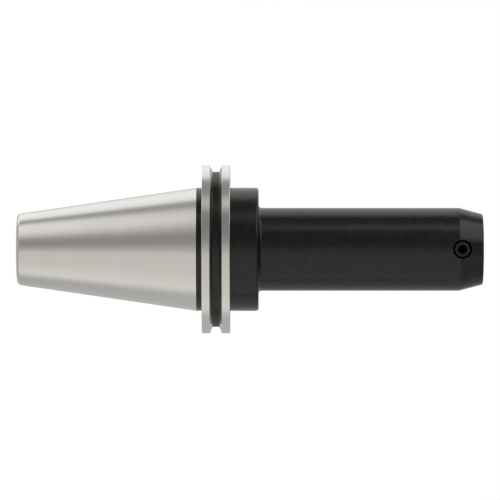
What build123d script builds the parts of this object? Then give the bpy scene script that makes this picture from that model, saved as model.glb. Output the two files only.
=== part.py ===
from build123d import *
import os
from math import cos, radians, tan

# Modular master shank: a size 50 steep-taper tool holder in one turned piece, with a
# socket for a screwed-in boring module in its nose and the radial screw that clamps it.
# It stands on the small end of its taper. Z runs up the axis to the nose, the drive
# slots face +X and -X, and the clamp screw faces -Y. All sizes are in millimetres.

# Spindle taper, size 50, 7/24
gauge_diameter = 69.85
taper_rate = 7 / 24
taper_length = 101.6
small_end_round = 2.4

# Neck between the gauge line and the flange
neck_length = 3.175
neck_relief = 0.05

# V-flange for the tool changer's gripper
flange_diameter = 98.425
flange_thickness = 15.875
flange_edge_break = 0.3
groove_from_gauge = 11.1
groove_floor_width = 3.4
groove_depth = 3.6
groove_flank_angle = 26

# Drive slots for the spindle keys
slot_width = 25.7
slot_floor_from_axis = 35.3
slot_corner_round = 0.8
slot_edge_break = 0.25

# Collar in front of the flange
collar_diameter = 69.85
collar_length = 16.2
collar_edge_round = 1.6

# Nose that carries the boring module
nose_diameter = 47.0
gauge_to_nose_face = 162.2
nose_cone_length = 13.3
nose_cone_angle = 15
nose_root_round = 1.7
nose_edge_break = 0.5

# Hole for the pull stud, 1 inch by 8 to the inch, at its tapping drill's size
stud_pilot_diameter = 26.5
stud_pilot_depth = 6.0
stud_drill_diameter = 22.2
stud_drill_depth = 50.0
stud_mouth_break = 1.0
drill_point_angle = 118

# Coolant bore from the pull stud to the socket
coolant_diameter = 10.0

# Socket for the module's spigot
socket_diameter = 20.0
socket_depth = 27.0
socket_mouth_break = 0.8

# Clamp screw, M10 by 10 with a cone point and a hexagon socket
screw_diameter = 10.0
screw_length = 10.0
screw_below_nose_face = 12.1
screw_face_diameter = 8.4
screw_point_diameter = 2.5
screw_point_angle = 90
key_width = 5.0
key_depth = 4.0
key_mouth_break = 0.25
key_floor_angle = 120

# Fits of the clamp screw at rest, backed off so that the socket is free
thread_clearance = 0.05
point_clearance = 0.5
screw_mouth_diameter = 10.7
screw_mouth_depth = 1.3

# Heights and radii that follow from the sizes above
gauge_radius = gauge_diameter / 2
small_end_radius = gauge_radius - taper_length * taper_rate / 2
neck_radius = gauge_radius - neck_relief
flange_bottom = taper_length + neck_length
flange_top = flange_bottom + flange_thickness
flange_radius = flange_diameter / 2
groove_height = taper_length + groove_from_gauge
groove_floor_radius = flange_radius - groove_depth
collar_radius = collar_diameter / 2
collar_top = flange_top + collar_length
nose_radius = nose_diameter / 2
nose_face_radius = nose_radius - nose_cone_length * tan(radians(nose_cone_angle))
nose_top = taper_length + gauge_to_nose_face
nose_cone_start = nose_top - nose_cone_length
socket_radius = socket_diameter / 2
socket_floor = nose_top - socket_depth
screw_height = nose_top - screw_below_nose_face
screw_radius = screw_diameter / 2
screw_point_at = socket_radius + point_clearance
screw_face_at = screw_point_at + screw_length


def nearest_corner(outline, radius, height):
    """Corner of a half section that lies nearest to this radius and height."""
    return outline.vertices().sort_by_distance((radius, height))[0]


with BuildPart() as shank_body:
    # Turned blank: taper, neck, flange, collar and nose on one axis
    with BuildSketch(Plane.XZ) as blank_half:
        with BuildLine():
            Polyline(
                (0, 0),
                (small_end_radius, 0),
                (gauge_radius, taper_length),
                (neck_radius, taper_length),
                (neck_radius, flange_bottom),
                (flange_radius, flange_bottom),
                (flange_radius, flange_top),
                (collar_radius, flange_top),
                (collar_radius, collar_top),
                (nose_radius, collar_top),
                (nose_radius, nose_cone_start),
                (nose_face_radius, nose_top),
                (0, nose_top),
                close=True,
            )
        make_face()

        fillet(nearest_corner(blank_half, small_end_radius, 0), small_end_round)
        fillet(nearest_corner(blank_half, collar_radius, collar_top), collar_edge_round)
        fillet(nearest_corner(blank_half, nose_radius, collar_top), nose_root_round)
        chamfer(nearest_corner(blank_half, nose_face_radius, nose_top), nose_edge_break)
        for rim_edge in (flange_bottom, flange_top):
            chamfer(
                nearest_corner(blank_half, flange_radius, rim_edge), flange_edge_break
            )
    revolve(axis=Axis.Z)

    # Two drive slots milled right through the flange, down to flat floors
    slot_run_out = neck_length / 2
    with BuildSketch(Plane.XY.offset(flange_bottom - slot_run_out)) as slots:
        with PolarLocations(slot_floor_from_axis, 2):
            Rectangle(flange_radius, slot_width, align=(Align.MIN, Align.CENTER))
        fillet(
            slots.vertices().filter_by(lambda corner: abs(corner.X) < flange_radius),
            slot_corner_round,
        )
    extrude(amount=flange_thickness + 2 * slot_run_out, mode=Mode.SUBTRACT)

    # Edge breaks where the slots' walls meet the flange's rim
    slot_middle = (slot_floor_from_axis + flange_radius) / 2
    rim_edges = (
        shank_body.edges()
        .filter_by(Axis.Z)
        .filter_by(lambda edge: abs(edge.center().X) > slot_middle)
    )
    chamfer(rim_edges, slot_edge_break)

    # V-groove round the flange, cut by a tool that reaches out past the rim
    cutter_radius = flange_radius + groove_depth
    cutter_flare = 2 * groove_depth * tan(radians(groove_flank_angle))
    half_floor = groove_floor_width / 2
    with BuildSketch(Plane.XZ):
        with BuildLine():
            Polyline(
                (groove_floor_radius, groove_height - half_floor),
                (cutter_radius, groove_height - half_floor - cutter_flare),
                (cutter_radius, groove_height + half_floor + cutter_flare),
                (groove_floor_radius, groove_height + half_floor),
                close=True,
            )
        make_face()
    revolve(axis=Axis.Z, mode=Mode.SUBTRACT)

    # Pull stud hole: pilot, tapping drill with its point, and the bevelled mouth
    pilot_radius = stud_pilot_diameter / 2
    drill_radius = stud_drill_diameter / 2
    drill_point = drill_radius / tan(radians(drill_point_angle / 2))
    with BuildSketch(Plane.XZ):
        with BuildLine():
            Polyline(
                (0, 0),
                (pilot_radius + stud_mouth_break, 0),
                (pilot_radius, stud_mouth_break),
                (pilot_radius, stud_pilot_depth),
                (drill_radius, stud_pilot_depth),
                (drill_radius, stud_drill_depth),
                (0, stud_drill_depth + drill_point),
                close=True,
            )
        make_face()
    revolve(axis=Axis.Z, mode=Mode.SUBTRACT)

    # Coolant bore, from the drill's point up into the socket
    with BuildSketch(Plane.XY.offset(stud_drill_depth)):
        Circle(coolant_diameter / 2)
    extrude(amount=socket_floor - stud_drill_depth, mode=Mode.SUBTRACT)

    # Module socket with its bevelled mouth
    with BuildSketch(Plane.XZ):
        with BuildLine():
            Polyline(
                (0, socket_floor),
                (socket_radius, socket_floor),
                (socket_radius, nose_top - socket_mouth_break),
                (socket_radius + socket_mouth_break, nose_top),
                (0, nose_top),
                close=True,
            )
        make_face()
    revolve(axis=Axis.Z, mode=Mode.SUBTRACT)

    # Screw hole through one wall of the nose, with a relieved mouth
    screw_side = Plane(
        origin=(0, -nose_radius, screw_height), x_dir=(1, 0, 0), z_dir=(0, -1, 0)
    )
    with BuildSketch(screw_side):
        Circle(screw_radius + thread_clearance)
    extrude(amount=-nose_radius, mode=Mode.SUBTRACT)
    with BuildSketch(screw_side):
        Circle(screw_mouth_diameter / 2)
    extrude(amount=-screw_mouth_depth, mode=Mode.SUBTRACT)


with BuildPart() as clamp_screw:
    # Turned form about the screw's own axis, from its point out to its face
    point_radius = screw_point_diameter / 2
    point_length = (screw_radius - point_radius) / tan(radians(screw_point_angle / 2))
    face_radius = screw_face_diameter / 2
    face_bevel = screw_radius - face_radius
    with BuildSketch(Plane.XY.offset(screw_height)):
        with BuildLine():
            Polyline(
                (0, -screw_point_at),
                (point_radius, -screw_point_at),
                (screw_radius, -screw_point_at - point_length),
                (screw_radius, -screw_face_at + face_bevel),
                (face_radius, -screw_face_at),
                (0, -screw_face_at),
                close=True,
            )
        make_face()
    revolve(axis=Axis((0, 0, screw_height), (0, 1, 0)))

    # Hexagon for the key, two of its corners in line with the shank's axis
    screw_face = Plane(
        origin=(0, -screw_face_at, screw_height), x_dir=(0, 0, 1), z_dir=(0, -1, 0)
    )
    with BuildSketch(screw_face):
        RegularPolygon(key_width / 2, 6, major_radius=False)
    extrude(amount=-key_depth, mode=Mode.SUBTRACT)

    # Drilled floor below the hexagon, and the bevel at its mouth
    floor_cone = key_width / 2 / tan(radians(key_floor_angle / 2))
    mouth_cone = key_width / 2 / cos(radians(30)) + key_mouth_break
    to_the_face = (Align.CENTER, Align.CENTER, Align.MAX)
    with Locations(screw_face.offset(-key_depth)):
        Cone(0, key_width / 2, floor_cone, align=to_the_face, mode=Mode.SUBTRACT)
    with Locations(screw_face):
        Cone(0, mouth_cone, mouth_cone, align=to_the_face, mode=Mode.SUBTRACT)


shank_body.part.label = "shank_body"
clamp_screw.part.label = "clamp_screw"

os.makedirs("parts", exist_ok=True)
export_step(shank_body.part, "parts/shank_body.step")
export_step(clamp_screw.part, "parts/clamp_screw.step")
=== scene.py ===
"""Looks of the modular master shank: its turned body, its clamp screw and a plain studio."""

import logging
from collections.abc import Sequence
from dataclasses import dataclass, field
from enum import Enum, IntEnum
from math import asin, atan, atan2, ceil, cos, hypot, pi, radians, sin, tan

import bmesh
import bpy
from mathutils import Matrix, Vector


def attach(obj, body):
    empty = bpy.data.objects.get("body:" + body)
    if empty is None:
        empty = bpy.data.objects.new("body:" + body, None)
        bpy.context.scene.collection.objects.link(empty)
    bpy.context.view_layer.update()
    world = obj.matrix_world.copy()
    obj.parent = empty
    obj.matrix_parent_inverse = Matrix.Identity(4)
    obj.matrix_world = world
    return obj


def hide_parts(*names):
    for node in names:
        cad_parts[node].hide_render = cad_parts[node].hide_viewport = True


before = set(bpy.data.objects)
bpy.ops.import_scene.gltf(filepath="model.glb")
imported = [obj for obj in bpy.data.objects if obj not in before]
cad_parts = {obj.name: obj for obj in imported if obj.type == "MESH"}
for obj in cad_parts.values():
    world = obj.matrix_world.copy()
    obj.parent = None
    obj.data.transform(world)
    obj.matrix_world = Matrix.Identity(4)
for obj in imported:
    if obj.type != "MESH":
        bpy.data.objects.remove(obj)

log = logging.getLogger("master_shank")

MM = 0.001
ROUND_SEGMENTS = 256
HOLE_SEGMENTS = 96
KEY_SEGMENTS = 72
# In millimetres: how near points merge, and how far a cutter runs past what it cuts
MERGE_WITHIN = 0.0005
OVERSHOOT = 1.0
# The brightest tone, because tones on a colour ramp have to be shares of one
TOP_TONE = 2.0
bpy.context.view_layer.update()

Shape = bmesh.types.BMesh
Point = tuple[float, float]
Triple = tuple[float, float, float]
Socket = bpy.types.NodeSocket
Inputs = dict[str | int, object]
Materials = Sequence[bpy.types.Material]


class Finish(IntEnum):
    """Material slots of the turned body, in their order on the mesh."""

    STEEL = 0
    BLACK = 1


class ScrewFinish(IntEnum):
    """Material slots of the clamp screw, in their order on the mesh."""

    BLACK = 0
    # Black oxide darkened as painted shade for the hexagon socket's recess
    SOCKET = 1


class Keep(Enum):
    """Which side of a closed shape a cut leaves, by the boolean's own names."""

    OUTSIDE = "DIFFERENCE"
    INSIDE = "INTERSECT"


class NodeGraph:
    """Adds shader nodes to one tree and links them."""

    def __init__(self, tree: bpy.types.NodeTree) -> None:
        """Empties the tree.

        Args:
            tree: The node tree to fill.
        """
        self.tree = tree
        self.tree.nodes.clear()

    def add(self, kind: str, inputs: Inputs | None = None, **settings: object) -> bpy.types.Node:
        """Adds one node.

        Args:
            kind: The node's type name.
            inputs: Names or places of its inputs, each with another node's output, which
                is linked, or with a plain value, which is set on the input itself.
            settings: Properties to set on it.

        Returns:
            The new node.
        """
        node = self.tree.nodes.new(kind)
        for name, value in settings.items():
            setattr(node, name, value)
        for name, value in (inputs or {}).items():
            if isinstance(value, bpy.types.NodeSocket):
                self.tree.links.new(value, node.inputs[name])
            else:
                node.inputs[name].default_value = value
        return node

    def math(self, operation: str, *values: object) -> Socket:
        """The result of a math node on these values, in order."""
        inputs = dict(enumerate(values))
        return self.add("ShaderNodeMath", inputs, operation=operation).outputs[0]

    def colour_math(self, operation: str, first: Socket, second: Socket) -> Socket:
        """Two colours added or multiplied part by part."""
        node = self.add("ShaderNodeVectorMath", {0: first, 1: second}, operation=operation)
        return node.outputs[0]

    def combine(self, *values: object) -> Socket:
        """A vector of three values."""
        return self.add("ShaderNodeCombineXYZ", dict(enumerate(values))).outputs[0]

    def noise(self, vector: Socket, scale: float, detail: float, rough: float = 0.5) -> Socket:
        """A noise pattern from 0 to 1, with a cell for each unit of the vector times the scale."""
        inputs = {"Vector": vector, "Scale": scale, "Detail": detail, "Roughness": rough}
        return self.add("ShaderNodeTexNoise", inputs, noise_dimensions="3D").outputs["Fac"]

    def spread(self, value: Socket, low: float, high: float, to: Point = (0.0, 1.0)) -> Socket:
        """Maps a range onto another, clamped at both ends.

        Args:
            value: The value to map.
            low: Start of its range.
            high: End of its range.
            to: What the two ends become.

        Returns:
            The mapped value.
        """
        ends = {"From Min": low, "From Max": high, "To Min": to[0], "To Max": to[1]}
        inputs = {"Value": value, **ends}
        node = self.add("ShaderNodeMapRange", inputs, interpolation_type="SMOOTHSTEP", clamp=True)
        return node.outputs["Result"]

    def blend(self, share: Socket, first: object, second: object) -> Socket:
        """Mixes two colours.

        Args:
            share: How much of the second colour shows.
            first: Colour at a share of 0.
            second: Colour at a share of 1.

        Returns:
            The mixed colour.
        """
        # The node names its sockets alike for each kind of data, so colours go by place
        inputs = {0: share, 6: first, 7: second}
        return self.add("ShaderNodeMix", inputs, data_type="RGBA").outputs[2]

    def wear(self, section: Socket, rings: Sequence[Point], reach: float, place: Socket) -> Socket:
        """Wear along turned edges, broken up so that it comes and goes round them.

        Args:
            section: Radius and height in millimetres.
            rings: Radius and height of each edge in millimetres.
            reach: How far the wear spreads from an edge, in millimetres.
            place: Coordinates in metres that break it up.

        Returns:
            How worn each place is, from 0 to 1.
        """
        if not rings:
            return self.math("ADD", 0.0, 0.0)
        nearest: object = 1000.0  # beyond every edge
        for ring in rings:
            inputs = {0: section, 1: (*ring, 0.0)}
            away = self.add("ShaderNodeVectorMath", inputs, operation="DISTANCE").outputs["Value"]
            nearest = self.math("MINIMUM", away, nearest)
        close = self.spread(nearest, 0.0, reach, (1.0, 0.0))
        broken = self.spread(self.noise(place, scale=420.0, detail=3.0, rough=0.6), 0.42, 0.62)
        return self.math("MULTIPLY", close, broken)

    def bump(self, height: Socket, depth: float, under: Socket | None = None) -> Socket:
        """Normals of a height pattern.

        Args:
            height: The pattern, from 0 to 1.
            depth: Depth of the pattern in metres.
            under: Normals to add it to.

        Returns:
            The new normals.
        """
        inputs = {"Strength": 1.0, "Distance": depth, "Height": height}
        if under is not None:
            inputs["Normal"] = under
        return self.add("ShaderNodeBump", inputs).outputs["Normal"]

    def seen(self) -> Socket:
        """1 for rays from the camera, in a reflection or through glass, else 0."""
        path = self.add("ShaderNodeLightPath").outputs
        seen = self.math("MAXIMUM", path["Is Camera Ray"], path["Is Glossy Ray"])
        return self.math("MAXIMUM", seen, path["Is Transmission Ray"])

    def curve(self, place: Socket, stops: Sequence[Point]) -> Socket:
        """A tone that runs straight from stop to stop.

        Args:
            place: Position from 0 to 1.
            stops: Pairs of position and tone in rising order.

        Returns:
            The tone as a share of the top tone, because a ramp ends at 1.
        """
        node = self.add("ShaderNodeValToRGB", {0: place})
        ramp = node.color_ramp
        ramp.interpolation = "LINEAR"
        while len(ramp.elements) < len(stops):
            ramp.elements.new(1.0)
        for element, (position, tone) in zip(ramp.elements, stops):
            element.position = position
            element.color = (tone / TOP_TONE,) * 3 + (1.0,)
        return node.outputs["Color"]


def new_material(name: str) -> tuple[bpy.types.Material, NodeGraph]:
    """Makes an empty material.

    Args:
        name: The material's name.

    Returns:
        The material and the graph that fills it.
    """
    material = bpy.data.materials.new(name)
    material.use_nodes = True
    return material, NodeGraph(material.node_tree)


@dataclass(frozen=True)
class TurnedCoordinates:
    """Coordinates that run round a turned piece and along its outline.

    Attributes:
        centre: A point of the piece's axis, in metres.
        turn: Euler angles that bring the piece's axis onto Z, in radians.
    """

    centre: Triple = (0.0, 0.0, 0.0)
    turn: Triple = (0.0, 0.0, 0.0)

    def place(self, graph: NodeGraph) -> Socket:
        """Object coordinates centred on the axis.

        Args:
            graph: The graph to add to.

        Returns:
            The coordinates in metres.
        """
        vector = graph.add("ShaderNodeTexCoord").outputs["Object"]
        steps = {"Location": [-value for value in self.centre], "Rotation": self.turn}
        for name, value in steps.items():
            inputs = {"Vector": vector, name: value}
            vector = graph.add("ShaderNodeMapping", inputs, vector_type="POINT").outputs[0]
        return vector

    def parts(self, graph: NodeGraph) -> tuple[Socket, Socket, Socket, Socket]:
        """The coordinates one by one, with the distance from the axis.

        Args:
            graph: The graph to add to.

        Returns:
            X, Y, Z and the radius, in metres.
        """
        x, y, z = graph.add("ShaderNodeSeparateXYZ", {0: self.place(graph)}).outputs
        squares = graph.math("ADD", graph.math("MULTIPLY", x, x), graph.math("MULTIPLY", y, y))
        return x, y, z, graph.math("SQRT", squares)

    def section(self, graph: NodeGraph) -> Socket:
        """The radius, the height along the axis and zero, in millimetres."""
        _, _, z, radius = self.parts(graph)
        return graph.combine(graph.math("DIVIDE", radius, MM), graph.math("DIVIDE", z, MM), 0.0)

    def lay(self, graph: NodeGraph, around: float, radial: float = 1.7) -> Socket:
        """Coordinates for tool marks: slow round the piece, quick across the marks.

        Args:
            graph: The graph to add to.
            around: How far the pattern runs from the axis to the rim, in cells.
            radial: How much closer together marks lie on a flat end.

        Returns:
            The vector, its last value in millimetres along the outline.
        """
        x, y, z, radius = self.parts(graph)
        safe = graph.math("MAXIMUM", radius, 0.1 * MM)  # never zero on the axis
        across = graph.math("MULTIPLY_ADD", radius, radial / MM, graph.math("DIVIDE", z, MM))
        return graph.combine(
            graph.math("MULTIPLY", graph.math("DIVIDE", x, safe), around),
            graph.math("MULTIPLY", graph.math("DIVIDE", y, safe), around),
            across,
        )


@dataclass(frozen=True)
class GroundSteel:
    """Bare hardened steel, finely ground round its axis."""

    name: str = "ground_steel"
    colour: Triple = (0.622, 0.604, 0.573)
    deeper: Triple = (0.596, 0.579, 0.55)
    roughness: Point = (0.16, 0.20)
    line_depth: float = 0.0000011
    polished: Triple = (0.68, 0.665, 0.64)
    wear_share: float = 0.6
    wear_reach: float = 0.35
    worn_rings: tuple[Point, ...] = ()
    coordinates: TurnedCoordinates = field(default_factory=TurnedCoordinates)

    def material(self) -> bpy.types.Material:
        """Builds the finish.

        Returns:
            The material.
        """
        material, graph = new_material(self.name)
        lay = self.coordinates.lay(graph, around=0.7)
        place = self.coordinates.place(graph)
        lines = graph.noise(lay, scale=5.2, detail=3.0, rough=0.6)
        bands = graph.noise(lay, scale=0.16, detail=2.0)
        clouds = graph.noise(place, scale=45.0, detail=3.0)
        patches = graph.math("MULTIPLY_ADD", bands, 0.35, graph.math("MULTIPLY", clouds, 0.35))
        tone = graph.spread(graph.math("MULTIPLY_ADD", lines, 0.3, patches), 0.3, 0.75)
        colour = graph.blend(tone, (*self.colour, 1.0), (*self.deeper, 1.0))
        worn = graph.wear(self.coordinates.section(graph), self.worn_rings, self.wear_reach, place)
        worn = graph.math("MULTIPLY", worn, self.wear_share)
        mixed = graph.math("MULTIPLY_ADD", lines, 0.5, graph.math("MULTIPLY", clouds, 0.5))
        metal = {
            "Metallic": 1.0,
            "Base Color": graph.blend(worn, colour, (*self.polished, 1.0)),
            "Roughness": graph.spread(mixed, 0.3, 0.7, self.roughness),
            "Normal": graph.bump(lines, self.line_depth),
        }
        shader = graph.add("ShaderNodeBsdfPrincipled", metal)
        graph.add("ShaderNodeOutputMaterial", {"Surface": shader.outputs[0]})
        return material


@dataclass(frozen=True)
class BlackOxide:
    """Satin black oxide over fine turning marks.

    Painted sheen: at each angle to the view its colour is scaled by a share, from facing at 0 to
    edge-on at 1.
    """

    name: str = "black_oxide"
    colour: Triple = (0.0325, 0.0325, 0.0328)
    paler: Triple = (0.0395, 0.0392, 0.0385)
    grazing: Triple = (0.845, 0.82, 0.82)
    # Painted sheen: shares of the colour for each facing value, brighter at some angles
    painted_sheen: tuple[Point, ...] = (
        (0.0, 1.03), (0.2, 0.96), (0.33, 1.0), (0.45, 1.36), (0.56, 1.4), (0.7, 1.05), (1.0, 1.0),
    )
    roughness: Point = (0.18, 0.24)
    line_depth: float = 0.000001
    bare: Triple = (0.30, 0.30, 0.295)
    wear_share: float = 0.06
    wear_reach: float = 0.2
    worn_rings: tuple[Point, ...] = ()
    coordinates: TurnedCoordinates = field(default_factory=TurnedCoordinates)

    def material(self) -> bpy.types.Material:
        """Builds the finish.

        Returns:
            The material.
        """
        material, graph = new_material(self.name)
        lay = self.coordinates.lay(graph, around=0.9)
        place = self.coordinates.place(graph)
        marks = graph.noise(lay, scale=3.2, detail=3.0, rough=0.55)
        mottle = graph.noise(place, scale=260.0, detail=4.0, rough=0.6)
        clouds = graph.noise(place, scale=38.0, detail=2.0)
        # Painted sheen: the colour grows brighter or darker with the angle to the view
        facing = graph.add("ShaderNodeLayerWeight", {"Blend": 0.5}).outputs["Facing"]
        share = graph.math("MULTIPLY", graph.curve(facing, self.painted_sheen), TOP_TONE)
        tone = graph.spread(mottle, 0.35, 0.75)
        oxide = graph.blend(tone, (*self.colour, 1.0), (*self.paler, 1.0))
        oxide = graph.colour_math("MULTIPLY", oxide, share)
        worn = graph.wear(self.coordinates.section(graph), self.worn_rings, self.wear_reach, place)
        worn = graph.math("MULTIPLY", worn, self.wear_share)
        mixed = graph.math("MULTIPLY_ADD", mottle, 0.5, graph.math("MULTIPLY", clouds, 0.5))
        fine = graph.bump(mottle, self.line_depth * 2.0)
        metal = {
            "Metallic": 1.0,
            "Specular Tint": (*self.grazing, 1.0),
            "Base Color": graph.blend(worn, oxide, (*self.bare, 1.0)),
            "Roughness": graph.spread(mixed, 0.35, 0.65, self.roughness),
            "Normal": graph.bump(marks, self.line_depth, fine),
        }
        shader = graph.add("ShaderNodeBsdfPrincipled", metal)
        graph.add("ShaderNodeOutputMaterial", {"Surface": shader.outputs[0]})
        return material


def turn(shape: Shape, angle: float, axis: str) -> None:
    """Turns a shape about an axis through the origin.

    Args:
        shape: The shape.
        angle: How far it turns, in radians.
        axis: X, Y or Z.
    """
    matrix = Matrix.Rotation(angle, 3, axis)
    bmesh.ops.rotate(shape, cent=(0.0, 0.0, 0.0), matrix=matrix, verts=shape.verts)


def move(shape: Shape, x: float = 0.0, y: float = 0.0, z: float = 0.0) -> None:
    """Moves a shape along the three axes."""
    bmesh.ops.translate(shape, vec=(x, y, z), verts=shape.verts)


def dress(shape: Shape, finish: Finish | ScrewFinish) -> None:
    """Gives all faces of a shape one finish."""
    for face in shape.faces:
        face.material_index = finish


def block(x: float, y: float, z: float) -> Shape:
    """Makes a block of these sizes, centred on the origin."""
    shape = bmesh.new()
    bmesh.ops.create_cube(shape, size=1.0)
    bmesh.ops.scale(shape, vec=(x, y, z), verts=shape.verts)
    return shape


def profile(
    shape: Shape, corners: Sequence[Point], closed: bool
) -> list[bmesh.types.BMVert | bmesh.types.BMEdge]:
    """Draws a half section on the XZ plane.

    Args:
        shape: The shape to draw it in.
        corners: Radius and height of each corner, in order.
        closed: Whether the last corner joins the first.

    Returns:
        Its points and edges.
    """
    points = [shape.verts.new((radius, 0.0, height)) for radius, height in corners]
    pairs = list(zip(points, points[1:]))
    if closed:
        pairs.append((points[-1], points[0]))
    return [*points, *(shape.edges.new(pair) for pair in pairs)]


@dataclass(frozen=True)
class Thread:
    """A right-handed 60 degree screw thread along Z. Sizes are in millimetres.

    Attributes:
        pitch: Rise of the thread in one turn.
        outer_radius: Radius of its flat crests.
        root_share: Share of the pitch that the flat root takes.
        crest_share: Share of the pitch that the flat crest takes.
        flank_angle: Angle between a flank and the radius, in degrees.
    """

    pitch: float
    outer_radius: float
    root_share: float = 0.25
    crest_share: float = 0.125
    flank_angle: float = 30.0

    def tooth(self) -> list[Point]:
        """One pitch of the thread's half section, from its root's foot up.

        Returns:
            Radius and height of each corner.
        """
        flank_share = (1.0 - self.root_share - self.crest_share) / 2
        root = self.outer_radius - flank_share * self.pitch / tan(radians(self.flank_angle))
        crest_foot = self.root_share + flank_share
        outline = (
            (root, 0.0),
            (root, self.root_share),
            (self.outer_radius, crest_foot),
            (self.outer_radius, crest_foot + self.crest_share),
            (root, 1.0),
        )
        return [(radius, share * self.pitch) for radius, share in outline]

    def rod(self, low: float, high: float, steps: int) -> Shape:
        """Threaded rod, flat at both ends.

        Args:
            low: Height of its lower end.
            high: Height of its upper end.
            steps: Facets in one turn.

        Returns:
            The closed shape.
        """
        start = low - 2.0 * self.pitch
        shape = bmesh.new()
        bmesh.ops.spin(
            shape,
            geom=profile(shape, [(radius, start + rise) for radius, rise in self.tooth()], False),
            cent=(0.0, 0.0, 0.0),
            axis=(0.0, 0.0, 1.0),
            dvec=(0.0, 0.0, self.pitch / steps),
            angle=2.0 * pi,
            steps=steps,
        )
        one_turn = [*shape.verts, *shape.edges, *shape.faces]
        for _ in range(ceil((high - start) / self.pitch)):
            one_turn = bmesh.ops.duplicate(shape, geom=one_turn)["geom"]
            moved = [item for item in one_turn if isinstance(item, bmesh.types.BMVert)]
            bmesh.ops.translate(shape, vec=(0.0, 0.0, self.pitch), verts=moved)
        bmesh.ops.remove_doubles(shape, verts=shape.verts, dist=MERGE_WITHIN)
        for height, outwards in ((low, -1.0), (high, 1.0)):
            bmesh.ops.bisect_plane(
                shape,
                geom=[*shape.verts, *shape.edges, *shape.faces],
                plane_co=(0.0, 0.0, height),
                plane_no=(0.0, 0.0, outwards),
                clear_outer=True,
            )
        open_edges = [edge for edge in shape.edges if edge.is_boundary]
        bmesh.ops.holes_fill(shape, edges=open_edges, sides=0)
        bmesh.ops.recalc_face_normals(shape, faces=shape.faces)
        return shape


def new_piece(name: str, shape: Shape, materials: Materials) -> bpy.types.Object:
    """Makes an object of a shape in millimetres, at its place in the frame.

    Args:
        name: The object's name.
        shape: The shape, which is freed.
        materials: Its material slots.

    Returns:
        The object, linked to the scene.
    """
    bmesh.ops.scale(shape, vec=(MM, MM, MM), verts=shape.verts)
    mesh = bpy.data.meshes.new(name)
    shape.to_mesh(mesh)
    shape.free()
    for material in materials:
        mesh.materials.append(material)
    piece = bpy.data.objects.new(name, mesh)
    bpy.context.scene.collection.objects.link(piece)
    return piece


def spin_outline(outline: Sequence[Point], steps: int, closed: bool = True) -> Shape:
    """Turns an outline of radius and height about Z.

    Args:
        outline: The corners in order, in millimetres.
        steps: Facets round the axis.
        closed: Whether the last corner joins the first.

    Returns:
        The turned shape, closed, its faces outwards.
    """
    shape = bmesh.new()
    bmesh.ops.spin(
        shape,
        geom=profile(shape, outline, closed),
        cent=(0.0, 0.0, 0.0),
        axis=(0.0, 0.0, 1.0),
        dvec=(0.0, 0.0, 0.0),
        angle=2.0 * pi,
        steps=steps,
        use_merge=True,
    )
    bmesh.ops.remove_doubles(shape, verts=shape.verts, dist=MERGE_WITHIN)
    bmesh.ops.recalc_face_normals(shape, faces=shape.faces)
    return shape


def soften(
    shape: Shape, edges: Sequence[bmesh.types.BMEdge], offset: float, segments: int
) -> list[bmesh.types.BMFace]:
    """Rounds or bevels edges.

    Args:
        shape: The shape.
        edges: Its edges.
        offset: How far the round reaches along each face.
        segments: 1 for a bevel, more for a round.

    Returns:
        The new faces.
    """
    made = bmesh.ops.bevel(
        shape,
        geom=edges,
        offset=offset,
        offset_type="OFFSET",
        affect="EDGES",
        segments=segments,
        profile=0.5,
        material=-1,
    )
    return made["faces"]


def ring_edges(shape: Shape, radius: float, height: float) -> list[bmesh.types.BMEdge]:
    """Finds the ring of edges at one corner of a turned outline.

    Args:
        shape: The turned shape.
        radius: The corner's radius in millimetres.
        height: The corner's height in millimetres.

    Returns:
        The edges.
    """
    near = 0.02

    def on_ring(corner: bmesh.types.BMVert) -> bool:
        """Says whether a point lies on the ring."""
        away = abs(hypot(corner.co.x, corner.co.y) - radius)
        return away < near and abs(corner.co.z - height) < near

    return [edge for edge in shape.edges if all(map(on_ring, edge.verts))]


def keep_modified_mesh(piece: bpy.types.Object) -> None:
    """Applies a piece's modifiers, so that its mesh stands on its own.

    Args:
        piece: The piece.
    """
    depsgraph = bpy.context.evaluated_depsgraph_get()
    result = bpy.data.meshes.new_from_object(piece.evaluated_get(depsgraph))
    piece.modifiers.clear()
    old = piece.data
    piece.data = result
    result.name = piece.name
    bpy.data.meshes.remove(old)


def cut(piece: bpy.types.Object, shapes: Sequence[Shape], keep: Keep = Keep.OUTSIDE) -> None:
    """Cuts a piece with closed shapes.

    Args:
        piece: The piece, which keeps the result as its mesh.
        shapes: What cuts it, in millimetres. Each is freed.
        keep: Which side of each shape is left.
    """
    for shape in shapes:
        cutter = new_piece("cutter", shape, list(piece.data.materials))
        modifier = piece.modifiers.new("cut", "BOOLEAN")
        modifier.operation = keep.value
        modifier.solver = "EXACT"
        modifier.material_mode = "INDEX"
        modifier.object = cutter
        keep_modified_mesh(piece)
        bpy.data.objects.remove(cutter)


def smooth_faces(piece: bpy.types.Object, angle: float = 25.0) -> None:
    """Shades a piece smooth, apart from its real edges.

    Args:
        piece: The piece.
        angle: Edges that turn more than this stay sharp, in degrees.
    """
    piece.data.shade_smooth()
    piece.data.set_sharp_from_angle(angle=radians(angle))
    weighted = piece.modifiers.new("weighted_normals", "WEIGHTED_NORMAL")
    weighted.mode = "FACE_AREA"
    weighted.weight = 100  # wide faces alone give the normals
    weighted.keep_sharp = True
    keep_modified_mesh(piece)


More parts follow.
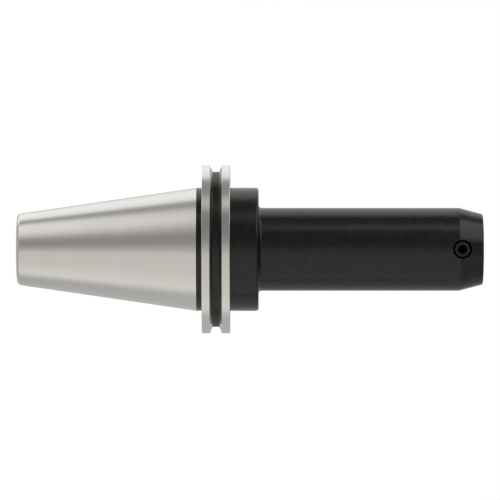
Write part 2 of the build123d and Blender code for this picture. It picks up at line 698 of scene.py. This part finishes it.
@dataclass
class TurnedShank:
    """The one-piece body: taper, V-flange, collar and nose. Sizes are in millimetres."""

    gauge_radius: float = 34.925
    taper_length: float = 101.6
    taper_rate: float = 7 / 24
    small_end_round: float = 2.4
    neck_length: float = 3.175
    neck_relief: float = 0.05
    flange_radius: float = 49.2125
    flange_thickness: float = 15.875
    flange_edge_break: float = 0.3
    groove_from_gauge: float = 11.1
    groove_floor_width: float = 3.4
    groove_depth: float = 3.6
    groove_flank_angle: float = 26.0
    gauge_break: float = 0.03
    lip_break: float = 0.08
    slot_width: float = 25.7
    slot_floor_from_axis: float = 35.3
    slot_corner_round: float = 0.8
    slot_edge_break: float = 0.25
    collar_radius: float = 34.925
    collar_length: float = 16.2
    collar_edge_round: float = 1.6
    nose_radius: float = 23.5
    gauge_to_nose_face: float = 162.2
    nose_cone_length: float = 13.3
    nose_cone_angle: float = 15.0
    nose_root_round: float = 1.7
    nose_edge_break: float = 0.5
    cone_blend: float = 0.25
    stud_pilot_radius: float = 13.25
    stud_pilot_depth: float = 6.0
    stud_drill_radius: float = 11.1
    stud_drill_depth: float = 50.0
    stud_mouth_break: float = 1.0
    drill_point_angle: float = 118.0
    stud_thread_radius: float = 12.7
    stud_thread_pitch: float = 3.175
    stud_thread_length: float = 41.0
    coolant_radius: float = 5.0
    socket_radius: float = 10.0
    socket_depth: float = 27.0
    socket_mouth_break: float = 0.8
    screw_below_nose_face: float = 12.1
    screw_ring_below: float = 9.0
    screw_hole_radius: float = 5.05
    screw_mouth_radius: float = 5.35
    screw_mouth_depth: float = 2.0
    screw_mouth_break: float = 0.12

    @property
    def groove_height(self) -> float:
        """Height of the groove's middle."""
        return self.taper_length + self.groove_from_gauge

    @property
    def half_groove_mouth(self) -> float:
        """Half the groove's width at the flange's rim."""
        flare = self.groove_depth * tan(radians(self.groove_flank_angle))
        return self.groove_floor_width / 2 + flare

    @property
    def flange_bottom(self) -> float:
        """Height of the flange's lower face."""
        return self.taper_length + self.neck_length

    @property
    def flange_top(self) -> float:
        """Height of the flange's upper face."""
        return self.flange_bottom + self.flange_thickness

    @property
    def flange_middle(self) -> float:
        """Height of the flange's middle."""
        return (self.flange_bottom + self.flange_top) / 2

    @property
    def slot_cut_height(self) -> float:
        """Height of the slots' cut, which runs halfway into the neck and as far above."""
        return self.flange_thickness + self.neck_length

    @property
    def collar_top(self) -> float:
        """Height of the collar's upper face."""
        return self.flange_top + self.collar_length

    @property
    def nose_top(self) -> float:
        """Height of the nose's end face."""
        return self.taper_length + self.gauge_to_nose_face

    @property
    def nose_cone_start(self) -> float:
        """Height at which the nose's cone begins."""
        return self.nose_top - self.nose_cone_length

    @property
    def nose_face_radius(self) -> float:
        """Radius of the nose's end face before its edge is broken."""
        return self.nose_radius - self.nose_cone_length * tan(radians(self.nose_cone_angle))

    @property
    def small_end_radius(self) -> float:
        """Radius of the taper's small end before its edge is rounded."""
        return self.gauge_radius - self.taper_length * self.taper_rate / 2

    @property
    def screw_height(self) -> float:
        """Height of the clamp screw's axis."""
        return self.nose_top - self.screw_below_nose_face

    def outline(self) -> list[tuple[Point, Finish]]:
        """Half section of the body, once round the metal.

        Returns:
            Each corner with the finish of the surface that starts there.
        """
        neck = self.gauge_radius - self.neck_relief
        groove, half_mouth = self.groove_height, self.half_groove_mouth
        half_floor = self.groove_floor_width / 2
        groove_floor = self.flange_radius - self.groove_depth
        drill_slope = tan(radians(self.drill_point_angle / 2))
        point_length = (self.stud_drill_radius - self.coolant_radius) / drill_slope
        coolant_foot = self.stud_drill_depth + point_length
        socket_floor = self.nose_top - self.socket_depth
        steel, black = Finish.STEEL, Finish.BLACK
        return [
            ((self.stud_pilot_radius + self.stud_mouth_break, 0.0), steel),
            ((self.small_end_radius, 0.0), steel),
            ((self.gauge_radius, self.taper_length), black),
            ((neck, self.taper_length), black),
            ((neck, self.flange_bottom), steel),
            ((self.flange_radius, self.flange_bottom), steel),
            ((self.flange_radius, groove - half_mouth), steel),
            ((groove_floor, groove - half_floor), black),
            ((groove_floor, groove + half_floor), steel),
            ((self.flange_radius, groove + half_mouth), steel),
            ((self.flange_radius, self.flange_top), steel),
            ((self.collar_radius, self.flange_top), black),
            ((self.collar_radius, self.collar_top), black),
            ((self.nose_radius, self.collar_top), black),
            ((self.nose_radius, self.screw_height - self.screw_ring_below), black),
            ((self.nose_radius, self.nose_cone_start), black),
            ((self.nose_face_radius, self.nose_top), steel),
            ((self.socket_radius + self.socket_mouth_break, self.nose_top), steel),
            ((self.socket_radius, self.nose_top - self.socket_mouth_break), steel),
            ((self.socket_radius, socket_floor), black),
            ((self.coolant_radius, socket_floor), black),
            ((self.coolant_radius, coolant_foot), black),
            ((self.stud_drill_radius, self.stud_drill_depth), black),
            ((self.stud_drill_radius, self.stud_pilot_depth), black),
            ((self.stud_pilot_radius, self.stud_pilot_depth), black),
            ((self.stud_pilot_radius, self.stud_mouth_break), black),
        ]

    def worn_edges(self) -> dict[Finish, tuple[Point, ...]]:
        """The turned edges that handling and clamping wear.

        Returns:
            Radius and height of each edge, under the finish that it wears.
        """
        foot = self.small_end_round * 0.3  # about the middle of the round
        return {
            Finish.STEEL: (
                (self.small_end_radius - foot, foot),
                (self.gauge_radius, self.taper_length),
                (self.flange_radius, self.flange_bottom),
                (self.flange_radius, self.flange_top),
                (self.socket_radius + self.socket_mouth_break, self.nose_top),
            ),
            Finish.BLACK: (
                (self.nose_radius, self.nose_cone_start),
                (self.nose_face_radius, self.nose_top),
            ),
        }

    def blank(self) -> Shape:
        """Turns the outline, dresses its surfaces and softens its corners.

        Returns:
            The turned blank.
        """
        outline = self.outline()
        corners = [Vector(corner) for corner, _ in outline]
        finishes = [finish for _, finish in outline]
        shape = spin_outline([tuple(corner) for corner in corners], ROUND_SEGMENTS)
        middles = [(a + b) / 2 for a, b in zip(corners, corners[1:] + corners[:1])]
        for face in shape.faces:
            radii = [hypot(corner.co.x, corner.co.y) for corner in face.verts]
            here = Vector(((max(radii) + min(radii)) / 2, face.calc_center_median().z))
            distances = [(middle - here).length for middle in middles]
            face.material_index = finishes[distances.index(min(distances))]
        half_taper = atan(self.taper_rate / 2)
        end_reach = self.small_end_round * tan(radians(45.0) - half_taper / 2)
        groove, half_mouth = self.groove_height, self.half_groove_mouth
        steel, black = Finish.STEEL, Finish.BLACK
        # Corner, reach, segments and finish of each round
        rounds = [
            ((self.small_end_radius, 0.0), end_reach, 6, steel),
            ((self.gauge_radius, self.taper_length), self.gauge_break, 1, steel),
            ((self.flange_radius, self.flange_bottom), self.flange_edge_break, 4, steel),
            ((self.flange_radius, groove - half_mouth), self.lip_break, 3, steel),
            ((self.flange_radius, groove + half_mouth), self.lip_break, 3, steel),
            ((self.flange_radius, self.flange_top), self.flange_edge_break, 4, steel),
            ((self.collar_radius, self.collar_top), self.collar_edge_round, 8, black),
            ((self.nose_radius, self.collar_top), self.nose_root_round, 8, black),
            ((self.nose_radius, self.nose_cone_start), self.cone_blend, 3, black),
            ((self.nose_face_radius, self.nose_top), self.nose_edge_break, 4, black),
        ]
        for (radius, height), offset, segments, finish in rounds:
            for face in soften(shape, ring_edges(shape, radius, height), offset, segments):
                face.material_index = finish
        return shape

    def slot_cutters(self) -> list[Shape]:
        """The two drive slots, with their edges broken at the flange's rim.

        Returns:
            The cutting shapes.
        """
        cutters = []
        reach = self.flange_radius
        for side in (1, -1):
            shape = block(reach, self.slot_width, self.slot_cut_height)
            floor_corners = [
                edge
                for edge in shape.edges
                if all(corner.co.x < 0.0 for corner in edge.verts)
                and edge.verts[0].co.y == edge.verts[1].co.y
            ]
            soften(shape, floor_corners, self.slot_corner_round, segments=4)
            move(shape, x=self.slot_floor_from_axis + reach / 2, z=self.flange_middle)
            if side < 0:
                turn(shape, pi, "Z")
            dress(shape, Finish.BLACK)
            cutters += [shape, *(self.rim_break_cutter(side, wall) for wall in (1, -1))]
        return cutters

    def rim_break_cutter(self, side: int, wall: int) -> Shape:
        """Bevel where one wall of a drive slot meets the flange's rim.

        Args:
            side: 1 for the slot at +X, -1 for the one at -X.
            wall: 1 for the wall at +Y, -1 for the one at -Y.

        Returns:
            The cutting shape.
        """
        half_width = self.slot_width / 2
        corner = asin(half_width / self.flange_radius)
        beyond = corner + self.slot_edge_break / self.flange_radius
        on_wall = Vector((self.flange_radius * cos(corner) - self.slot_edge_break, half_width))
        on_rim = Vector((self.flange_radius * cos(beyond), self.flange_radius * sin(beyond)))
        along = (on_rim - on_wall).normalized()
        outwards = Vector((along.y, -along.x))
        thickness = 1.0
        beyond_both_ends = 0.6
        centre = (on_wall + on_rim) / 2 + outwards * (thickness / 2)
        shape = block(thickness, (on_rim - on_wall).length + beyond_both_ends, self.slot_cut_height)
        turn(shape, -atan2(along.x, along.y) * side * wall, "Z")
        move(shape, side * centre.x, wall * centre.y, self.flange_middle)
        dress(shape, Finish.BLACK)
        return shape

    def screw_hole_cutter(self) -> Shape:
        """The cross hole for the clamp screw with its relieved mouth.

        Returns:
            The cutting shape.
        """
        step = self.screw_mouth_radius - self.screw_hole_radius
        mouth_floor = self.nose_radius - self.screw_mouth_depth
        brim = self.screw_mouth_radius + self.screw_mouth_break
        clear_of_nose = self.nose_radius + 5.0
        shape = spin_outline(
            [
                (0.0, 0.0),
                (self.screw_hole_radius, 0.0),
                (self.screw_hole_radius, mouth_floor - step),
                (self.screw_mouth_radius, mouth_floor),
                (brim, self.nose_radius),
                (brim, clear_of_nose),
                (0.0, clear_of_nose),
            ],
            HOLE_SEGMENTS,
            closed=False,
        )
        turn(shape, radians(90.0), "X")
        move(shape, z=self.screw_height)
        dress(shape, Finish.BLACK)
        return shape

    def stud_thread_cutter(self) -> Shape:
        """The pull stud's thread, from the pilot inwards.

        Returns:
            The cutting shape.
        """
        thread = Thread(pitch=self.stud_thread_pitch, outer_radius=self.stud_thread_radius)
        end = self.stud_pilot_depth + self.stud_thread_length
        shape = thread.rod(self.stud_pilot_depth / 2, end, ROUND_SEGMENTS)
        dress(shape, Finish.BLACK)
        return shape

    def build(self, materials: Materials) -> None:
        """Builds and dresses the body in place of its CAD node.

        Args:
            materials: The finishes in the order of Finish.
        """
        piece = new_piece("turned_shank", self.blank(), materials)
        cut(piece, [*self.slot_cutters(), self.screw_hole_cutter(), self.stud_thread_cutter()])
        smooth_faces(piece)
        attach(piece, "shank")
        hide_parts("shank_body")
        log.info("turned_shank: %d faces", len(piece.data.polygons))


@dataclass
class ClampScrew:
    """The M10 set screw with a hexagon socket and a cone point. Sizes are in millimetres."""

    height: float = 251.7
    point_at: float = 10.5
    length: float = 10.0
    radius: float = 5.0
    pitch: float = 1.5
    face_radius: float = 4.15
    point_radius: float = 1.25
    point_angle: float = 90.0
    key_width: float = 5.0
    key_depth: float = 4.0
    key_mouth_break: float = 0.12
    key_floor_angle: float = 120.0
    key_drill_clearance: float = 0.04
    drill_web: float = 0.12

    def ends_cutter(self) -> Shape:
        """Turned form that leaves the cone point and the bevelled face.

        Its facets lie half a facet round from the thread's, so that no edges coincide.

        Returns:
            The shape that the screw keeps within.
        """
        clear_of_thread = 0.2
        around = self.radius + clear_of_thread
        shape = spin_outline(
            [
                (0.0, 0.0),
                (self.point_radius, 0.0),
                (around, (around - self.point_radius) / tan(radians(self.point_angle / 2))),
                (around, self.length - (around - self.face_radius)),
                (self.face_radius, self.length),
                (0.0, self.length),
            ],
            HOLE_SEGMENTS,
            closed=False,
        )
        turn(shape, pi / HOLE_SEGMENTS, "Z")
        return self.placed(shape)

    def placed(self, shape: Shape, finish: ScrewFinish = ScrewFinish.BLACK) -> Shape:
        """Dresses a shape made along Z and lays it onto the screw's own axis.

        Args:
            shape: The shape, its point's tip at the origin.
            finish: The finish of its faces.

        Returns:
            The same shape.
        """
        dress(shape, finish)
        turn(shape, radians(90.0), "X")
        move(shape, y=-self.point_at, z=self.height)
        return shape

    def key_cutter(self) -> Shape:
        """Hexagon socket, flat at its bottom.

        Returns:
            The cutting shape.
        """
        corner_radius = self.key_width / 2 / cos(radians(30.0))
        depth = self.key_depth + OVERSHOOT
        middle = self.length + OVERSHOOT - depth / 2
        shape = bmesh.new()
        bmesh.ops.create_cone(
            shape,
            cap_ends=True,
            segments=6,
            radius1=corner_radius,
            radius2=corner_radius,
            depth=depth,
            matrix=Matrix.Translation((0.0, 0.0, middle)),
        )
        # The socket's faces take the painted shade of its recess
        return self.placed(shape, ScrewFinish.SOCKET)

    def drill_cutter(self) -> Shape:
        """Drilled hole whose point shows at the bottom of the hexagon.

        Returns:
            The cutting shape.
        """
        radius = self.key_width / 2 - self.key_drill_clearance
        floor = self.length - self.key_depth
        point = floor - (radius - self.drill_web) / tan(radians(self.key_floor_angle / 2))
        top = self.length - self.key_depth / 2
        shape = spin_outline(
            [(0.0, point), (self.drill_web, point), (radius, floor), (radius, top), (0.0, top)],
            KEY_SEGMENTS,
            closed=False,
        )
        # The drilled point takes the painted shade of the socket's recess
        return self.placed(shape, ScrewFinish.SOCKET)

    def mouth_cutter(self) -> Shape:
        """Fine bevel along the flats at the mouth of the hexagon socket.

        Returns:
            The cutting shape.
        """
        mouth = self.key_width / 2 + self.key_mouth_break
        top = self.length + OVERSHOOT
        outline = [(0.0, self.length - mouth), (mouth + OVERSHOOT, top), (0.0, top)]
        return self.placed(spin_outline(outline, KEY_SEGMENTS, closed=False))

    def build(self, materials: Materials) -> None:
        """Builds and dresses the screw in place of its CAD node.

        Args:
            materials: The finishes in the order of ScrewFinish.
        """
        thread = Thread(pitch=self.pitch, outer_radius=self.radius)
        rod = thread.rod(-OVERSHOOT, self.length + OVERSHOOT, HOLE_SEGMENTS)
        piece = new_piece("clamp_screw_threaded", self.placed(rod), materials)
        cut(piece, [self.ends_cutter()], Keep.INSIDE)
        cut(piece, [self.key_cutter(), self.drill_cutter(), self.mouth_cutter()])
        smooth_faces(piece)
        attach(piece, "clamp_screw")
        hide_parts("clamp_screw")
        log.info("clamp_screw_threaded: %d faces", len(piece.data.polygons))


@dataclass
class Studio:
    """Plain white studio: world, floor, light tent and camera. Sizes are in metres.

    The tent's tones stand at angles round its axis, in degrees from the camera's side
    towards -X. Low, level and high tones pass into each other between the given heights.
    """

    light: Triple = (1.0, 0.995, 0.985)
    light_strength: float = 0.9
    floor_size: float = 60.0
    floor_glow: float = 0.85
    floor_albedo: float = 0.22
    tent_radius: float = 1.2
    tent_height: float = 4.0
    camera_distance: float = 2.93
    camera_height: float = 0.13195
    camera_side: float = 0.00037
    pixel_width: float = 0.5672 * MM
    pixels_across: int = 500
    sensor_width: float = 36.0
    under_tone: float = 0.62
    over_tone: float = 0.42
    over_back_tone: float = 0.85
    front_tint: Triple = (1.012, 1.0, 0.982)
    back_tint: Triple = (0.972, 1.0, 1.0)
    low_to_level: Point = (-0.42, 0.04)
    window_rise: Point = (0.12, 0.19)
    level_to_high: Point = (0.36, 0.46)
    walls_to_ends: Point = (1.0, 1.25)
    under_to_over: Point = (-0.5, 0.5)
    over_to_back: Point = (0.05, 0.6)
    front_to_back: Point = (-0.45, 0.7)
    low_tones: tuple[Point, ...] = (
        (-180, 0.69), (-102, 0.57), (-92, 0.73), (-80, 1.03), (-62, 0.97), (-45, 0.87),
        (-9, 0.85), (3, 0.56), (12, 0.41), (22, 0.39), (27, 0.44), (33, 0.54), (39, 0.72),
        (45, 0.93), (57, 1.17), (66, 1.19), (78, 1.34), (86, 0.96), (94, 0.46), (100, 0.61),
        (110, 1.31), (137, 1.40), (157, 0.70), (168, 0.55), (180, 0.66),
    )
    level_tones: tuple[Point, ...] = (
        (-180, 0.62), (-112, 0.66), (-98, 0.68), (-84, 1.01), (-57, 0.90), (-9, 0.79),
        (1, 0.59), (10, 0.41), (24, 0.32), (44, 0.29), (52, 0.42), (58, 0.63), (64, 0.66),
        (70, 0.56), (76, 0.37), (96, 0.37), (103, 0.55), (110, 1.20), (123, 1.33),
        (140, 1.27), (157, 0.93), (168, 0.60), (180, 0.62),
    )
    high_tones: tuple[Point, ...] = (
        (-180, 0.62), (-112, 0.59), (-34, 0.63), (-9, 0.46), (2, 0.43), (20, 0.33),
        (26, 0.54), (31, 1.12), (37, 1.55), (60, 1.62), (86, 2.0), (95, 1.5), (101, 0.32),
        (110, 0.22), (117, 0.5), (123, 1.08), (137, 1.28), (157, 1.0), (168, 0.52), (180, 0.56),
    )
    window_tones: tuple[Point, ...] = (
        (-180, 0.0), (54, 0.0), (64, 0.6), (74, 0.12), (80, 0.0), (180, 0.0),
    )

    def world(self) -> None:
        """White world, seen by the camera and in the metal."""
        world = bpy.data.worlds.new("studio_white")
        world.use_nodes = True
        graph = NodeGraph(world.node_tree)
        tones = (
            {"Color": (*self.light, 1.0), "Strength": self.light_strength},
            {"Color": (1.0, 1.0, 1.0, 1.0), "Strength": 1.0},
        )
        light, white = [graph.add("ShaderNodeBackground", tone).outputs[0] for tone in tones]
        mixed = graph.add("ShaderNodeMixShader", {0: graph.seen(), 1: light, 2: white})
        graph.add("ShaderNodeOutputWorld", {"Surface": mixed.outputs[0]})
        bpy.context.scene.world = world

    def floor(self) -> None:
        """White floor that keeps a soft shadow."""
        shape = bmesh.new()
        bmesh.ops.create_grid(shape, x_segments=1, y_segments=1, size=self.floor_size / 2 / MM)
        material, graph = new_material("floor_white")
        matt = graph.add("ShaderNodeBsdfDiffuse", {"Color": (self.floor_albedo,) * 3 + (1.0,)})
        strength = graph.math("MULTIPLY", graph.seen(), self.floor_glow)
        glow = graph.add("ShaderNodeEmission", {"Strength": strength})
        both = graph.add("ShaderNodeAddShader", {0: matt.outputs[0], 1: glow.outputs[0]})
        graph.add("ShaderNodeOutputMaterial", {"Surface": both.outputs[0]})
        floor = new_piece("floor", shape, [material])
        floor.visible_glossy = False

    def tent(self) -> None:
        """Light tent round the part, whose soft tones show in the metal alone."""
        shape = bmesh.new()
        bmesh.ops.create_cone(
            shape,
            cap_ends=True,
            segments=180,
            radius1=self.tent_radius / MM,
            radius2=self.tent_radius / MM,
            depth=self.tent_height / MM,
        )
        material, graph = new_material("tent_tones")
        here = graph.add("ShaderNodeTexCoord").outputs["Object"]
        x, y, z = graph.add("ShaderNodeSeparateXYZ", {0: here}).outputs
        upwards, forwards = graph.math("MULTIPLY", x, -1.0), graph.math("MULTIPLY", y, -1.0)
        angle = graph.math("ARCTAN2", upwards, forwards)
        place = graph.math("MULTIPLY_ADD", angle, 1.0 / (2.0 * pi), 0.5)
        low, level, high, window = [
            graph.curve(place, [(degrees / 360.0 + 0.5, tone) for degrees, tone in stops])
            for stops in (self.low_tones, self.level_tones, self.high_tones, self.window_tones)
        ]
        window = graph.colour_math("MULTIPLY", window, graph.spread(z, *self.window_rise))
        lit = graph.colour_math("ADD", level, window)
        walls = graph.blend(graph.spread(z, *self.low_to_level), low, lit)
        walls = graph.blend(graph.spread(z, *self.level_to_high), walls, high)
        under, over, over_back = [
            (tone / TOP_TONE,) * 3 + (1.0,)
            for tone in (self.under_tone, self.over_tone, self.over_back_tone)
        ]
        above = graph.blend(graph.spread(y, *self.over_to_back), over, over_back)
        ends = graph.blend(graph.spread(z, *self.under_to_over), under, above)
        away = graph.spread(graph.math("ABSOLUTE", z), *self.walls_to_ends)
        backwards = graph.spread(y, *self.front_to_back)
        tint = graph.blend(backwards, (*self.front_tint, 1.0), (*self.back_tint, 1.0))
        whole = graph.colour_math("MULTIPLY", graph.blend(away, walls, ends), tint)
        glow = graph.add("ShaderNodeEmission", {"Color": whole, "Strength": TOP_TONE})
        graph.add("ShaderNodeOutputMaterial", {"Surface": glow.outputs[0]})
        tent = new_piece("light_tent", shape, [material])
        tent.data.shade_smooth()
        tent.visible_camera = False
        tent.visible_diffuse = False
        tent.visible_shadow = False
        tent.visible_transmission = False

    def camera(self) -> None:
        """Camera square to the axis, turned so that the nose points right."""
        data = bpy.data.cameras.new("camera")
        data.sensor_width = self.sensor_width
        view_width = self.pixel_width * self.pixels_across
        data.lens = self.sensor_width * self.camera_distance / view_width
        data.clip_start = 0.1
        data.clip_end = 100.0
        camera = bpy.data.objects.new("camera", data)
        camera.matrix_world = Matrix(
            (
                (0.0, -1.0, 0.0, self.camera_side),
                (0.0, 0.0, -1.0, -self.camera_distance),
                (1.0, 0.0, 0.0, self.camera_height),
                (0.0, 0.0, 0.0, 1.0),
            )
        )
        bpy.context.scene.collection.objects.link(camera)
        bpy.context.scene.camera = camera

    def build(self) -> None:
        """Sets up the whole studio."""
        self.world()
        self.floor()
        self.tent()
        self.camera()
        bpy.context.scene.view_settings.view_transform = "Standard"
        log.info("studio ready")


def main() -> None:
    """Builds the studio and both pieces."""
    logging.basicConfig(level=logging.INFO, format="%(name)s %(message)s")
    Studio().build()
    shank = TurnedShank()
    worn = shank.worn_edges()
    steel = GroundSteel(worn_rings=worn[Finish.STEEL]).material()
    black = BlackOxide(worn_rings=worn[Finish.BLACK]).material()
    shank.build([steel, black])
    screw = ClampScrew()
    screw_axis = TurnedCoordinates((0.0, 0.0, screw.height * MM), (radians(90.0), 0.0, 0.0))
    screw_black = BlackOxide(name="screw_black_oxide", coordinates=screw_axis).material()
    # Inside of the hexagon socket: black oxide, rougher, and darkened as painted shade for its
    # recess
    socket_painted_shade = BlackOxide(
        name="socket_painted_shade_oxide",
        colour=(0.014, 0.014, 0.014),
        paler=(0.02, 0.0198, 0.0195),
        grazing=(0.35, 0.35, 0.35),
        roughness=(0.3, 0.38),
        coordinates=screw_axis,
    ).material()
    screw.build([screw_black, socket_painted_shade])


if __name__ == "__main__":
    main()
